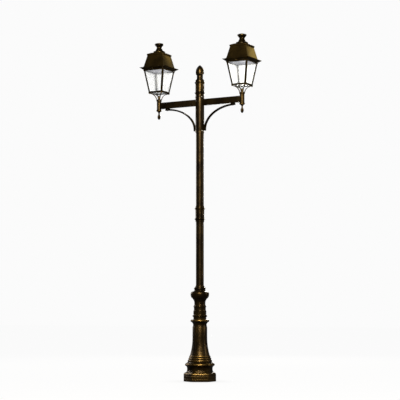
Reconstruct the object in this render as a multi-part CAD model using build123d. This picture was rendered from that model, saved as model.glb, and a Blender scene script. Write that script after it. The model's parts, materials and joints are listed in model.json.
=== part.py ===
from build123d import *
import math
import os

os.makedirs("parts", exist_ok=True)

# Twin-lantern street lamp post, in millimetres.
# +Z is up, the arms run along X, and the origin is the centre of the base's underside.
# "left" is the -X side and "right" the +X side.  The access door is in the -X face of the base.

# ---------------------------------------------------------------- driving dimensions
# Post
shaft_od = 127.0
shaft_wall = 5.0
base_height = 984.0
pedestal_height = 545.0
shaft_seat_depth = 230.0
shaft_joint_height = 2683.0
arm_centre_height = 4500.0
sleeve_length = 600.0
sleeve_wall = 7.2
post_top_above_arms = 370.0
casting_wall = 12.0

# Hexagonal base
plinth_radius = 259.5
plinth_height = 108.0
waist_radius = 204.5
cornice_radius = 238.0
trunk_foot_radius = 158.0
trunk_radius = 117.5
base_flange_radius = 148.5
foot_thickness = 20.0
anchor_spacing = 200.0
anchor_hole_radius = 11.0
cable_hole_radius = 55.0
facet_bow = 0.10
plinth_bow = 0.03

# Access door
door_bottom = 606.0
door_height = 254.0
door_width = 84.0
door_thickness = 7.0
door_gap = 2.0
door_rebate = 4.0
door_pin_radius = 4.0
knuckle_height = 18.0
lock_radius = 8.0
cam_clearance = 5.3
cam_reach = 19.5

# Arms, brackets and sockets
lantern_reach = 774.0
arm_height = 103.0
arm_width = 50.0
arm_wall = 5.0
bracket_reach = 645.0
bracket_width = 34.0
bracket_thickness = 26.0
bracket_rise = 358.0
socket_radius = 38.0
socket_flange_radius = 45.5
socket_flange_height = 26.0
socket_height = 188.0
socket_bore_radius = 20.3

# Lantern
cradle_rise = 112.0
lantern_foot_half = 128.0
lantern_head_half = 188.0
glazing_height = 358.0
angle_leg = 27.0
angle_thickness = 4.0
pane_thickness = 4.0
frame_depth = 20.0
eave_half = 236.0
roof_foot_half = 192.0
roof_shoulder_half = 186.0
roof_top_half = 143.0
roof_height = 240.0
crown_half = 150.0
crown_height = 50.0
chimney_radius = 100.0
chimney_height = 92.0
cap_radius = 75.0
cap_height = 78.0
sheet = 3.0
roof_pin_radius = 3.0

# Clearances
fit = 0.3
running = 0.06
nut_fit = 0.05

# ---------------------------------------------------------------- derived places
shaft_radius = shaft_od / 2
shaft_bore_radius = shaft_radius - shaft_wall
pedestal_top = base_height + pedestal_height
shaft_bottom = pedestal_top - shaft_seat_depth
post_top = arm_centre_height + post_top_above_arms
sleeve_radius = shaft_radius + fit + sleeve_wall
sleeve_top = arm_centre_height + 104.0
sleeve_bottom = sleeve_top - sleeve_length
arm_bottom = arm_centre_height - arm_height / 2
socket_top = arm_centre_height + 100.0
socket_bottom = socket_top - socket_height
lantern_foot = socket_top + cradle_rise
roof_foot = lantern_foot + 27.0 + glazing_height + 1.0
frame_top = roof_foot - fit
facet_wall = casting_wall / math.cos(math.pi / 6)
facet_outside = trunk_radius * math.cos(math.pi / 6)


# ---------------------------------------------------------------- shape helpers
def arc_middle(start, end, bow):
    """Point where an arc that rises by bow times its chord passes, in a (radius, height) plane."""
    across, up = end[0] - start[0], end[1] - start[1]
    return ((start[0] + end[0]) / 2 + bow * up, (start[1] + end[1]) / 2 - bow * across)


def turned(stations, bore=0.0):
    """Body turned about Z from (radius, height, bow) stations, with a straight bore through it."""
    first, last = stations[0], stations[-1]
    loop = [(bore, first[1], 0.0)] + list(stations) + [(bore, last[1], 0.0)]
    edges = []
    for start, end in zip(loop, loop[1:] + loop[:1]):
        if math.dist(start[:2], end[:2]) < 1e-6:
            continue
        a, b = Vector(start[0], 0, start[1]), Vector(end[0], 0, end[1])
        if start[2]:
            middle = arc_middle(start, end, start[2])
            edges.append(Edge.make_three_point_arc(a, Vector(middle[0], 0, middle[1]), b))
        else:
            edges.append(Edge.make_line(a, b))
    return revolve(Face(Wire(edges)), axis=Axis.Z)


def sampled(stations, steps=4):
    """The same stations as plain (radius, height) points, with each arc cut into short steps."""
    points = []
    for start, end in zip(stations, stations[1:]):
        points.append(start[:2])
        if start[2]:
            chord = math.dist(start[:2], end[:2])
            rise = abs(start[2]) * chord
            radius = (chord * chord / 4 + rise * rise) / (2 * rise)
            half_turn = math.asin(min(1.0, chord / 2 / radius))
            for step in range(1, steps):
                turn = half_turn * (2 * step / steps - 1)
                along = 0.5 + radius * math.sin(turn) / chord
                lift = (radius * math.cos(turn) - (radius - rise)) / chord
                lift = math.copysign(lift, start[2])
                across, up = end[0] - start[0], end[1] - start[1]
                points.append((start[0] + along * across + lift * up,
                               start[1] + along * up - lift * across))
    points.append(stations[-1][:2])
    return points


def polygon(sides, radius, height, turn, bow):
    """Regular polygon of that corner radius, each side bowed outwards by bow times its length."""
    angles = [turn + 2 * math.pi * i / sides for i in range(sides)]
    corners = [Vector(radius * math.cos(a), radius * math.sin(a), height) for a in angles]
    edges = []
    for start, end in zip(corners, corners[1:] + corners[:1]):
        if bow:
            middle = (start + end) * 0.5
            outward = Vector(middle.X, middle.Y, 0).normalized() * (bow * (end - start).length)
            edges.append(Edge.make_three_point_arc(start, middle + outward, end))
        else:
            edges.append(Edge.make_line(start, end))
    return Face(Wire(edges))


def bow_at(height):
    """How far the facets bow at a height: nearly flat on the plinth, rounded above it."""
    blend = (height - plinth_height - 33.0) / 37.0
    return plinth_bow + (facet_bow - plinth_bow) * min(1.0, max(0.0, blend))


def hexagonal(stations):
    """Casting of hexagonal section through (corner radius, height) stations, corners on +Y and -Y."""
    faces = [polygon(6, r, z, math.pi / 2, bow_at(z)) for r, z in sampled(stations)]
    return loft(faces, ruled=True)


def squared(stations, steps=4):
    """Square body through (half width, height) stations, its sides along X and Y."""
    faces = [Pos(0, 0, z) * Rectangle(2 * half, 2 * half) for half, z in sampled(stations, steps)]
    return loft(faces, ruled=True)


def shell_square(outer, inner, steps=4):
    """Square shell between an outer and an inner run of stations."""
    return squared(outer, steps) - squared(inner, steps)


def block(x0, x1, y0, y1, z0, z1):
    """Rectangular block between two corners."""
    return Pos((x0 + x1) / 2, (y0 + y1) / 2, (z0 + z1) / 2) * Box(x1 - x0, y1 - y0, z1 - z0)


def rod(radius, x, y, z0, z1):
    """Upright cylinder."""
    return Pos(x, y, (z0 + z1) / 2) * Cylinder(radius, z1 - z0)


def rod_x(radius, x0, x1, y, z):
    """Cylinder along X."""
    return Pos((x0 + x1) / 2, y, z) * Rot(0, 90, 0) * Cylinder(radius, x1 - x0)


def hex_prism(across_flats, x, y, z0, z1):
    """Hexagon nut or bolt head standing along Z."""
    profile = RegularPolygon(across_flats / 2, 6, major_radius=False)
    return Pos(x, y, z0) * extrude(profile, z1 - z0)


def cap_bow(radius, rise):
    """Bow of the arc that closes a turned body with a spherical cap of that radius and rise."""
    sphere = (radius * radius + rise * rise) / (2 * rise)
    half_turn = math.asin(min(1.0, radius / sphere)) / 2
    return sphere * (1 - math.cos(half_turn)) / math.hypot(radius, rise)


def dome(radius, height):
    """Domed screw head on the XY plane."""
    edge = 0.3 * height
    return turned([(radius, 0.0, 0.0), (radius, edge, cap_bow(radius, height - edge)),
                   (0.0, height, 0.0)])


def ring_angles(count, first):
    return [first + 360.0 * i / count for i in range(count)]


def both_sides(solid):
    """The right-hand piece and its mirror image on the left."""
    return solid, mirror(solid, Plane.YZ)


nodes = {}

# ---------------------------------------------------------------- hexagonal base casting
ring_top = plinth_height + 302.0
flare_top = plinth_height + 592.0
neck_height = base_height - 100.0
casting_profile = [
    (plinth_radius, 0.0, 0.0),
    (plinth_radius, plinth_height, 0.14),
    (plinth_radius - 21.5, plinth_height + 33.0, -0.10),
    (waist_radius + 4.0, plinth_height + 54.0, 0.0),
    (waist_radius + 4.0, plinth_height + 66.0, 0.0),
    (waist_radius, plinth_height + 70.0, 0.0),
    (waist_radius, plinth_height + 98.0, -0.16),
    (cornice_radius - 4.0, plinth_height + 144.0, 0.0),
    (cornice_radius, plinth_height + 150.0, 0.0),
    (cornice_radius, plinth_height + 161.0, 0.12),
    (trunk_foot_radius + 46.0, plinth_height + 191.0, 0.0),
    (trunk_foot_radius + 35.0, plinth_height + 204.0, 0.16),
    (trunk_foot_radius + 28.0, plinth_height + 237.0, 0.0),
    (trunk_foot_radius + 23.0, plinth_height + 239.0, 0.16),
    (trunk_foot_radius + 16.0, plinth_height + 270.0, 0.0),
    (trunk_foot_radius + 11.0, plinth_height + 272.0, 0.16),
    (trunk_foot_radius + 5.0, ring_top, 0.0),
    (trunk_foot_radius, ring_top + 3.0, -0.037),
    (trunk_radius + 0.5, flare_top, 0.0),
    (trunk_radius, base_height - 122.0, 0.0),
    (trunk_radius - 7.0, neck_height, -0.20),
    (base_flange_radius - 3.0, base_height - 34.0, 0.0),
    (base_flange_radius, base_height - 29.0, 0.0),
    (base_flange_radius, base_height - 14.0, 0.18),
    (base_flange_radius - 18.5, base_height, 0.0),
]
trunk_profile = casting_profile[17:20]
web_bottom = base_height - 20.0
cavity_profile = [
    (plinth_radius - facet_wall - 4.0, foot_thickness, 0.0),
    (plinth_radius - facet_wall - 4.0, plinth_height - 8.0, 0.0),
    (waist_radius - facet_wall, plinth_height + 42.0, 0.0),
    (waist_radius - facet_wall, plinth_height + 150.0, 0.0),
    (trunk_foot_radius + 34.0 - facet_wall, plinth_height + 190.0, 0.0),
    (trunk_foot_radius - facet_wall, ring_top, -0.037),
    (trunk_radius - facet_wall, flare_top, 0.0),
    (trunk_radius - facet_wall, base_height - 122.0, 0.0),
    (trunk_radius - 7.0 - facet_wall, neck_height - 8.0, 0.0),
    (trunk_radius - 7.0 - facet_wall, web_bottom, 0.0),
]


def trunk_inside(depth):
    """The trunk's own form, that far in from its outer faces, over the height of the door."""
    inset = depth / math.cos(math.pi / 6)
    stations = [(r - inset, z, b) for r, z, b in trunk_profile]
    return hexagonal(stations)


door_top = door_bottom + door_height
opening = block(-2 * trunk_radius, 0, -door_width / 2 - door_gap, door_width / 2 + door_gap,
                door_bottom - door_gap, door_top + door_gap)
inner_half = door_width / 2 - door_rebate
inner_opening = block(-2 * trunk_radius, 0, -inner_half, inner_half,
                      door_bottom + door_rebate, door_top - door_rebate)

# The door hangs on two knuckle pairs just proud of the trunk, each a post lug below a door knuckle.
hinge_x = -(facet_outside + 16.3)
hinge_y = door_width / 2 + 4.0
knuckle_radius = door_pin_radius + 3.0
lug_bottoms = [door_bottom + 44.0, door_top - 44.0 - 2 * knuckle_height]

fixing_heights = [door_bottom + 30.0, door_top - 20.0]
board_front, board_thickness = 68.0, 12.0
board_back = board_front + board_thickness
earth_height = door_bottom - 46.0
wall_reach = trunk_radius - 8.0

base = hexagonal(casting_profile) - hexagonal(cavity_profile)
base -= rod(cable_hole_radius, 0, 0, -1.0, foot_thickness + 1.0)
base -= rod(cable_hole_radius, 0, 0, web_bottom - 1.0, base_height + 1.0)
for sx in (-1, 1):
    for sy in (-1, 1):
        base -= rod(anchor_hole_radius, sx * anchor_spacing / 2, sy * anchor_spacing / 2,
                    -1.0, foot_thickness + 1.0)
base -= opening - trunk_inside(door_thickness + fit)
base -= inner_opening
for z in lug_bottoms:
    web = block(hinge_x, 6.0 - facet_outside, hinge_y, hinge_y + 6.0, z, z + knuckle_height)
    lug = rod(knuckle_radius, hinge_x, hinge_y, z, z + knuckle_height) + web
    base += lug - rod(door_pin_radius, hinge_x, hinge_y, z - 1, z + knuckle_height + 1)
for z in fixing_heights:
    base += rod_x(9.0, board_back, wall_reach, 0, z)
    base -= rod_x(3.0, board_back - 1.0, board_back + 16.0, 0, z)
base += rod_x(10.0, board_back, trunk_radius, 0, earth_height)
base -= rod_x(4.0, board_back - 1.0, board_back + 18.0, 0, earth_height)
pedestal_bolt_circle = 75.0
pedestal_bolt_radius = 6.0
bolt_angles = ring_angles(4, 45.0)
for angle in bolt_angles:
    x = pedestal_bolt_circle * math.cos(math.radians(angle))
    y = pedestal_bolt_circle * math.sin(math.radians(angle))
    base -= rod(pedestal_bolt_radius + 0.75, x, y, web_bottom - 1.0, base_height + 1.0)
nodes["base_casting"] = base

# ---------------------------------------------------------------- access door, pins and lock
door_body = block(-2 * trunk_radius, 0, -door_width / 2, door_width / 2, door_bottom, door_top)
door = hexagonal(trunk_profile) & door_body
door -= trunk_inside(door_thickness)
lock_y = -door_width / 2 + 18.0
lock_z = door_bottom + door_height / 2
for z in lug_bottoms:
    low = z + knuckle_height + fit
    high = low + knuckle_height
    leaf = block(hinge_x - 3.0, hinge_x + 5.0, door_width / 2 - 1.0, hinge_y, low, high)
    leaf += block(hinge_x - 3.0, 2.0 - facet_outside - 7.0, door_width / 2 - 14.0,
                  door_width / 2 - 1.0, low, high)
    door += rod(knuckle_radius, hinge_x, hinge_y, low, high) + leaf
    door -= rod(door_pin_radius + running, hinge_x, hinge_y, low - 1, high + 1)
door -= rod_x(lock_radius + running, -2 * trunk_radius, -facet_outside / 2, lock_y, lock_z)
nodes["access_door"] = door

pins = []
for z in lug_bottoms:
    pins.append(rod(door_pin_radius, hinge_x, hinge_y, z, z + 2 * knuckle_height + fit))
nodes["door_hinge_pins"] = Compound(children=pins)

lock_face = -(facet_outside + 13.5)
cam_back = -(facet_outside - casting_wall - cam_clearance)
cam_front = cam_back - 3.3
lock = rod_x(lock_radius, lock_face, cam_back, lock_y, lock_z)
lock += rod_x(lock_radius + 3.0, lock_face - 3.0, lock_face, lock_y, lock_z)
lock -= block(lock_face - 4.0, lock_face - 0.5, lock_y - 1.5, lock_y + 1.5, lock_z - 7, lock_z + 7)
lock += block(cam_front, cam_back, lock_y - 5.0, lock_y + 5.0, lock_z - 5.0,
              lock_z + cam_reach)
nodes["door_lock"] = lock

# ---------------------------------------------------------------- electrical gear behind the door
board = block(board_front, board_back, -40.0, 40.0, door_bottom + 10.0, door_top)
for z in fixing_heights:
    board -= rod_x(3.2, board_front - 1, board_back + 1, 0, z)
nodes["backboard"] = board

screws = []
for z in fixing_heights:
    screw = rod_x(3.0, board_front, board_back + 14.0, 0, z)
    screws.append(screw + Pos(board_front, 0, z) * Rot(0, -90, 0) * dome(6.0, 4.0))
nodes["backboard_screws"] = Compound(children=screws)

box_depth, box_half, box_low, box_high = 38.0, 33.0, door_bottom + 70.0, door_top - 66.0
box_front = board_front - box_depth
fuse_box = block(box_front + 12.0, board_front, -box_half, box_half, box_low, box_high)
fuse_box += block(box_front, board_front, -box_half + 5, box_half - 5, box_low + 8, box_high - 30)
fuse_box += rod_x(7.0, box_front - 4.0, box_front, 0, box_low + 44.0)
gland = rod(11.0, box_front + 25.0, 0, box_low - 10.0, box_low)
gland += rod(8.5, box_front + 25.0, 0, box_low - 22.0, box_low - 10.0)
gland -= rod(5.0, box_front + 25.0, 0, box_low - 23.0, box_low - 1.0)
nodes["fuse_box"] = Compound(children=[fuse_box, gland])

stud = rod_x(4.0, board_back - 26.0, board_back + 16.0, 0, earth_height)
washer_nut = Pos(board_back - 9.0, 0, earth_height) * Rot(0, 90, 0) * hex_prism(13.0, 0, 0, 0, 7.0)
washer_nut += rod_x(9.0, board_back - 2.0, board_back, 0, earth_height)
washer_nut -= rod_x(4.0 + nut_fit, board_back - 10.0, board_back + 1.0, 0, earth_height)
nodes["earth_stud"] = Compound(children=[stud, washer_nut])

# ---------------------------------------------------------------- turned pedestal casting
z0 = base_height
p = shaft_radius
pedestal_profile = [
    (p + 40.0, z0, 0.0),
    (p + 40.0, z0 + 36.0, -0.15),
    (p + 48.0, z0 + 45.0, 0.0),
    (p + 51.5, z0 + 48.0, 0.28),
    (p + 51.5, z0 + 66.0, 0.0),
    (p + 48.0, z0 + 69.0, 0.0),
    (p + 38.5, z0 + 78.0, -0.25),
    (p + 41.0, z0 + 90.0, 0.0),
    (p + 41.0, z0 + 130.0, 0.20),
    (p + 34.0, z0 + 144.0, 0.0),
    (p + 32.5, z0 + 158.0, -0.02),
    (p + 33.5, z0 + 196.0, 0.0),
    (p + 35.1, z0 + 200.0, 0.25),
    (p + 35.1, z0 + 220.0, 0.0),
    (p + 33.0, z0 + 224.0, -0.15),
    (p + 26.5, z0 + 240.0, -0.06),
    (p + 26.5, z0 + 262.0, -0.10),
    (p + 44.0, z0 + 322.0, -0.10),
    (p + 62.0, z0 + 341.0, 0.10),
    (p + 85.0, z0 + 401.0, 0.06),
    (p + 83.0, z0 + 425.0, 0.12),
    (p + 54.0, z0 + 449.0, -0.12),
    (p + 28.0, z0 + 463.0, 0.0),
    (p + 24.5, z0 + 466.0, 0.0),
    (p + 24.5, z0 + 482.0, 0.24),
    (p + 24.5, z0 + 512.0, -0.16),
    (p + 11.0, z0 + 530.0, 0.0),
    (p + 4.5, z0 + 536.0, 0.0),
    (p + 4.5, pedestal_top, 0.0),
]
pedestal_web = z0 + 14.0
core_profile = [
    (p + 26.5, pedestal_web, 0.0),
    (p + 26.5, z0 + 128.0, 0.0),
    (p + 15.0, z0 + 150.0, 0.0),
    (p + 15.0, z0 + 250.0, 0.0),
    (shaft_bore_radius - 4.0, shaft_bottom - 14.0, 0.0),
    (shaft_bore_radius - 4.0, shaft_bottom, 0.0),
    (shaft_radius + fit, shaft_bottom, 0.0),
    (shaft_radius + fit, pedestal_top + 1.0, 0.0),
]
pedestal = turned(pedestal_profile) - turned(core_profile)
pedestal -= rod(cable_hole_radius, 0, 0, z0 - 1.0, pedestal_web + 1.0)
pedestal_bolts = []
for angle in bolt_angles:
    x = pedestal_bolt_circle * math.cos(math.radians(angle))
    y = pedestal_bolt_circle * math.sin(math.radians(angle))
    pedestal -= rod(pedestal_bolt_radius + 0.75, x, y, z0 - 1.0, pedestal_web + 1.0)
    shank = rod(pedestal_bolt_radius, x, y, web_bottom - 14.0, pedestal_web)
    pedestal_bolts.append(shank + hex_prism(18.0, x, y, pedestal_web, pedestal_web + 8.0))
    nut = hex_prism(18.0, x, y, web_bottom - 10.0, web_bottom)
    pedestal_bolts.append(nut - rod(pedestal_bolt_radius + nut_fit, x, y, web_bottom - 11.0,
                                    web_bottom + 1.0))
nodes["pedestal_casting"] = pedestal
nodes["pedestal_bolts"] = Compound(children=pedestal_bolts)

# ---------------------------------------------------------------- shaft, spigot and collars
spigot_half = 150.0
nodes["lower_shaft"] = (rod(shaft_radius, 0, 0, shaft_bottom, shaft_joint_height)
                        - rod(shaft_bore_radius, 0, 0, shaft_bottom - 1, shaft_joint_height + 1))
upper_shaft = (rod(shaft_radius, 0, 0, shaft_joint_height, post_top)
               - rod(shaft_bore_radius, 0, 0, shaft_joint_height - 1, post_top + 1))
spigot_radius = shaft_bore_radius - fit
spigot_low, spigot_high = shaft_joint_height - spigot_half, shaft_joint_height + spigot_half
nodes["shaft_spigot"] = (rod(spigot_radius, 0, 0, spigot_low, spigot_high)
                         - rod(spigot_radius - 6.0, 0, 0, spigot_low - 1, spigot_high + 1))


def collar(centre):
    """Turned collar with a bead near each end, bored to slide over the shaft."""
    half = [(p + 8.0, 66.0, -0.20), (p + 16.0, 75.0, 0.0), (p + 18.5, 78.0, 0.26),
            (p + 18.5, 90.0, 0.0), (p + 16.0, 93.0, -0.20), (p + 8.0, 101.0, 0.0),
            (p + 7.0, 118.0, 0.16), (p + 2.5, 130.0, 0.0)]
    upper = [(r, centre + z, bow) for r, z, bow in half]
    lower = []
    for here, before in zip(half[::-1], half[-2::-1] + [(0, 0, 0.0)]):
        lower.append((here[0], centre - here[1], before[2]))
    lower[-1] = (lower[-1][0], lower[-1][1], 0.0)
    return turned(lower + upper, bore=shaft_radius + fit)


cap_collar_centre = post_top - 130.0
nodes["joint_collar"] = collar(shaft_joint_height)
nodes["cap_collar"] = collar(cap_collar_centre)

# ---------------------------------------------------------------- finial on top of the post
f0 = post_top
tip_radius, tip_rise = 10.0, 5.0
finial_profile = [
    (p + 0.8, f0, 0.20),
    (p - 11.5, f0 + 12.0, -0.06),
    (p - 13.5, f0 + 40.0, 0.0),
    (p - 13.5, f0 + 60.0, -0.16),
    (p + 0.5, f0 + 93.0, 0.056),
    (p - 3.5, f0 + 175.0, 0.07),
    (tip_radius, f0 + 241.0, cap_bow(tip_radius, tip_rise)),
    (0.0, f0 + 241.0 + tip_rise, 0.0),
]
plug_depth = 40.0
finial = turned(finial_profile) + rod(spigot_radius, 0, 0, f0 - plug_depth, f0)
finial -= rod(spigot_radius - 8.0, 0, 0, f0 - plug_depth - 1, f0 + 20.0)
nodes["post_finial"] = finial

# ---------------------------------------------------------------- crosshead sleeve and its screws
screw_heights = [sleeve_top - 18.0, sleeve_bottom + 28.0]
screw_angles = ring_angles(3, -30.0)
screw_radius, screw_head_radius = 5.0, 11.0
screw_seat = math.sqrt(sleeve_radius ** 2 - screw_head_radius ** 2)
bracket_bolt_height = sleeve_bottom + 92.0
bracket_bolt_radius = 6.0
sleeve = rod(sleeve_radius, 0, 0, sleeve_bottom, sleeve_top)
sleeve -= rod(shaft_radius + fit, 0, 0, sleeve_bottom - 1, sleeve_top + 1)
set_screws = []
for z in screw_heights:
    for angle in screw_angles:
        place = Pos(0, 0, z) * Rot(0, 0, angle)
        hole = place * rod_x(screw_radius, shaft_radius - 10.0, sleeve_radius + 10.0, 0, 0)
        sleeve -= hole
        sleeve -= place * rod_x(screw_head_radius, screw_seat, sleeve_radius + 10.0, 0, 0)
        upper_shaft -= hole
        shank = rod_x(screw_radius, shaft_bore_radius - 2.0, screw_seat, 0, 0)
        cap = Pos(screw_seat, 0, 0) * Rot(0, 90, 0) * dome(screw_head_radius, 8.0)
        set_screws.append(place * (shank + cap))
for sx in (-1, 1):
    sleeve -= rod_x(bracket_bolt_radius, *sorted((sx * shaft_radius, sx * (sleeve_radius + 5))), 0,
                    bracket_bolt_height)
nodes["crosshead_sleeve"] = sleeve
nodes["upper_shaft"] = upper_shaft
nodes["set_screws"] = Compound(children=set_screws)

# ---------------------------------------------------------------- arms
half_wide, half_high = arm_width / 2, arm_height / 2
arm = block(0, lantern_reach, -half_wide, half_wide, arm_bottom, arm_bottom + arm_height)
arm = chamfer(arm.edges().filter_by(Axis.X), 3.0)
arm -= block(-1, lantern_reach + 1, -half_wide + arm_wall, half_wide - arm_wall,
             arm_bottom + arm_wall, arm_bottom + arm_height - arm_wall)
arm -= rod(sleeve_radius, 0, 0, arm_bottom - 5, arm_bottom + arm_height + 5)
arm -= rod(socket_radius, lantern_reach, 0, arm_bottom - 5, arm_bottom + arm_height + 5)
tip_bolt_x = bracket_reach - 38.0
arm -= rod(bracket_bolt_radius, tip_bolt_x, 0, arm_bottom - 1, arm_bottom + arm_wall + 1)
nodes["arm_right"], nodes["arm_left"] = both_sides(arm)

# ---------------------------------------------------------------- curved brackets under the arms
strap_drop = 9.0
strap_top = arm_bottom - strap_drop
foot_bottom = sleeve_bottom + 32.0
ellipse_z = strap_top - bracket_thickness - bracket_rise
ellipse_x = bracket_reach - 5.0
ellipse_a = ellipse_x - sleeve_radius - 37.0


def bracket_disc(grow):
    """Elliptical disc whose upper inner quarter is the line that the strap follows."""
    outline = Pos(ellipse_x, ellipse_z) * Ellipse(ellipse_a + grow, bracket_rise + grow)
    return extrude(Plane.XZ * outline, amount=bracket_width / 2, both=True)


half_strap = bracket_width / 2
clear_side = bracket_disc(0)
strap = bracket_disc(bracket_thickness) - clear_side
strap &= block(0, bracket_reach, -half_strap, half_strap, foot_bottom, strap_top)
saddle = block(0, sleeve_radius + 80.0, -half_strap + 3, half_strap - 3, foot_bottom + 6,
               foot_bottom + 96)
spacer = block(bracket_reach - 75.0, bracket_reach - 4.0, -half_strap + 3, half_strap - 3,
               strap_top - 6.0, arm_bottom)
bracket = strap + (saddle - clear_side) + (spacer - clear_side)
bracket -= rod(sleeve_radius, 0, 0, foot_bottom - 5, foot_bottom + 150)
bolt_face = ellipse_x - ellipse_a * math.sqrt(
    1 - ((bracket_bolt_height - ellipse_z) / bracket_rise) ** 2)
bracket -= rod_x(bracket_bolt_radius, 0, bolt_face + 20.0, 0, bracket_bolt_height)
bracket -= rod(bracket_bolt_radius, tip_bolt_x, 0, strap_top - 40.0, arm_bottom + 1)
seat = rod_x(11.0, bolt_face + 1.0, bolt_face + 12.0, 0, bracket_bolt_height)
bracket -= seat
nodes["bracket_right"], nodes["bracket_left"] = both_sides(bracket)

foot_bolt = rod_x(bracket_bolt_radius, shaft_radius + fit + 0.2, bolt_face + 1.0, 0,
                  bracket_bolt_height)
foot_bolt += Pos(bolt_face + 1.0, 0, bracket_bolt_height) * Rot(0, 90, 0) * dome(10.0, 8.0)
strap_under = ellipse_z + bracket_rise * math.sqrt(
    1 - ((tip_bolt_x - ellipse_x) / ellipse_a) ** 2)
tip_bolt = rod(bracket_bolt_radius, tip_bolt_x, 0, strap_under - 0.5, arm_bottom + arm_wall)
tip_bolt += Pos(tip_bolt_x, 0, strap_under - 0.5) * Rot(180, 0, 0) * dome(10.0, 7.0)
bolts = list(both_sides(foot_bolt)) + list(both_sides(tip_bolt))
nodes["bracket_bolts"] = Compound(children=bolts)

# ---------------------------------------------------------------- sockets and drop finials
stud_radius = 10.0
s0, s1 = socket_bottom, socket_top
flange = socket_flange_height
socket_profile = [
    (socket_flange_radius - 5.0, s0, 0.0),
    (socket_flange_radius, s0 + 6.0, 0.0),
    (socket_flange_radius, s0 + flange - 8.0, -0.18),
    (socket_radius, s0 + flange, 0.0),
    (socket_radius, s1 - flange, -0.18),
    (socket_flange_radius, s1 - flange + 8.0, 0.0),
    (socket_flange_radius, s1 - 4.0, 0.0),
    (socket_flange_radius - 4.0, s1, 0.0),
]
socket = turned(socket_profile)
socket -= rod(socket_bore_radius, 0, 0, s0 + 40.0, s1 + 1)
socket -= rod(stud_radius, 0, 0, s0 - 1, s0 + 41.0)
wire_slot = 12.0
socket -= rod_x(wire_slot, -socket_radius - 10.0, socket_radius + 10.0, 0, arm_centre_height)
drop_profile = [
    (0.0, s0 - 140.0, 0.10),
    (9.0, s0 - 136.0, 0.10),
    (20.0, s0 - 119.0, 0.14),
    (24.0, s0 - 92.0, 0.14),
    (18.0, s0 - 66.0, -0.10),
    (13.0, s0 - 52.0, 0.0),
    (13.0, s0 - 34.0, -0.14),
    (20.0, s0 - 18.0, -0.10),
    (34.0, s0 - 4.0, 0.0),
    (34.0, s0, 0.0),
]
drop = turned(drop_profile) + rod(stud_radius, 0, 0, s0, s0 + 32.0)


# ---------------------------------------------------------------- lantern pieces
def make_cradle():
    """Four curved legs on a round foot, with a central cone and a spigot for the socket."""
    foot = socket_top
    reach = lantern_foot_half * math.sqrt(2) - 13.0
    leg_rise = lantern_foot - foot
    leg_a = reach - 38.0
    leg_width, leg_thick = 18.0, 10.0
    ring = Pos(reach, foot) * (Ellipse(leg_a, leg_rise)
                               - Ellipse(leg_a - leg_thick, leg_rise - leg_thick))
    leg = extrude(Plane.XZ * ring, amount=leg_width / 2, both=True)
    leg &= block(0, reach, -leg_width / 2, leg_width / 2, foot, lantern_foot)
    leg += block(reach - 1.0, reach + 8.0, -leg_width / 2, leg_width / 2,
                 lantern_foot - leg_thick, lantern_foot)
    leg -= rod(3.0, reach - 6.0, 0, lantern_foot - 30, lantern_foot + 1)
    solid = turned([(socket_flange_radius - 2.0, foot, 0.0), (socket_flange_radius, foot + 3, 0.0),
                    (socket_flange_radius, foot + 6, 0.0), (30.0, foot + 10, -0.18),
                    (17.0, foot + 44, 0.0), (17.0, foot + 56, 0.0), (11.0, foot + 70, 0.0)])
    for turn in ring_angles(4, 45.0):
        solid += Rot(0, 0, turn) * leg
    solid += rod(socket_bore_radius - fit, 0, 0, foot - 40.0, foot)
    return solid - rod(7.0, 0, 0, foot - 41.0, foot + 80.0)


screw_reach = lantern_foot_half * math.sqrt(2) - 19.0
screw_leg = 10.0


def make_cradle_screws():
    """Four dome-headed screws that hold the lantern's foot on the cradle."""
    screws = []
    for angle in ring_angles(4, 45.0):
        x, y = (screw_reach * f(math.radians(angle)) for f in (math.cos, math.sin))
        screw = rod(3.0, x, y, lantern_foot - screw_leg - 0.6, lantern_foot + angle_thickness)
        screws.append(screw + Pos(x, y, lantern_foot - screw_leg - 0.6) * Rot(180, 0, 0)
                      * dome(6.0, 4.0))
    return screws


def square_column(half, low, high):
    return block(-half, half, -half, half, low, high)


def square_ring(outer, inner, low, high):
    return square_column(outer, low, high) - square_column(inner, low - 1.0, high + 1.0)


ring_depth = 27.0
post_foot = lantern_foot + ring_depth
top_low = frame_top - frame_depth
lean = (lantern_head_half - lantern_foot_half) / glazing_height


def post_half(height):
    """Half width over the corner posts at a height."""
    return lantern_foot_half + lean * (height - post_foot)


def make_bottom_frame():
    ring = square_ring(lantern_foot_half, lantern_foot_half - angle_thickness, lantern_foot, post_foot)
    ring += square_ring(lantern_foot_half, lantern_foot_half - 24.0, lantern_foot,
                        lantern_foot + angle_thickness)
    for angle in ring_angles(4, 45.0):
        x, y = (screw_reach * f(math.radians(angle)) for f in (math.cos, math.sin))
        ring -= rod(3.0, x, y, lantern_foot - 1, lantern_foot + angle_thickness + 1)
    return ring


def make_corner_posts():
    """Four leaning steel angles."""
    h, leg, t = lantern_foot_half, angle_leg, angle_thickness
    corner = Polyline((h, h), (h - leg, h), (h - leg, h - t), (h - t, h - t), (h - t, h - leg),
                      (h, h - leg), close=True)
    slope = Vector(lean, lean, 1.0)
    angle_bar = extrude(Pos(0, 0, post_foot) * make_face(corner),
                        amount=(top_low - post_foot) * slope.length, dir=slope)
    return [Rot(0, 0, turn) * angle_bar for turn in ring_angles(4, 0.0)]


def make_side_panes():
    """Four leaning panes behind the legs of the corner posts."""
    rows = []
    margin = angle_thickness + pane_thickness + 3.0
    for z in (post_foot + 1.0, top_low - 1.0):
        outer = post_half(z) - angle_thickness - fit / 2
        width = 2 * (post_half(z) - margin)
        middle = outer - pane_thickness / 2
        rows.append(Pos(middle, 0, z) * Rectangle(pane_thickness, width))
    pane = loft(rows, ruled=True)
    return [Rot(0, 0, turn) * pane for turn in ring_angles(4, 0.0)]


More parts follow.
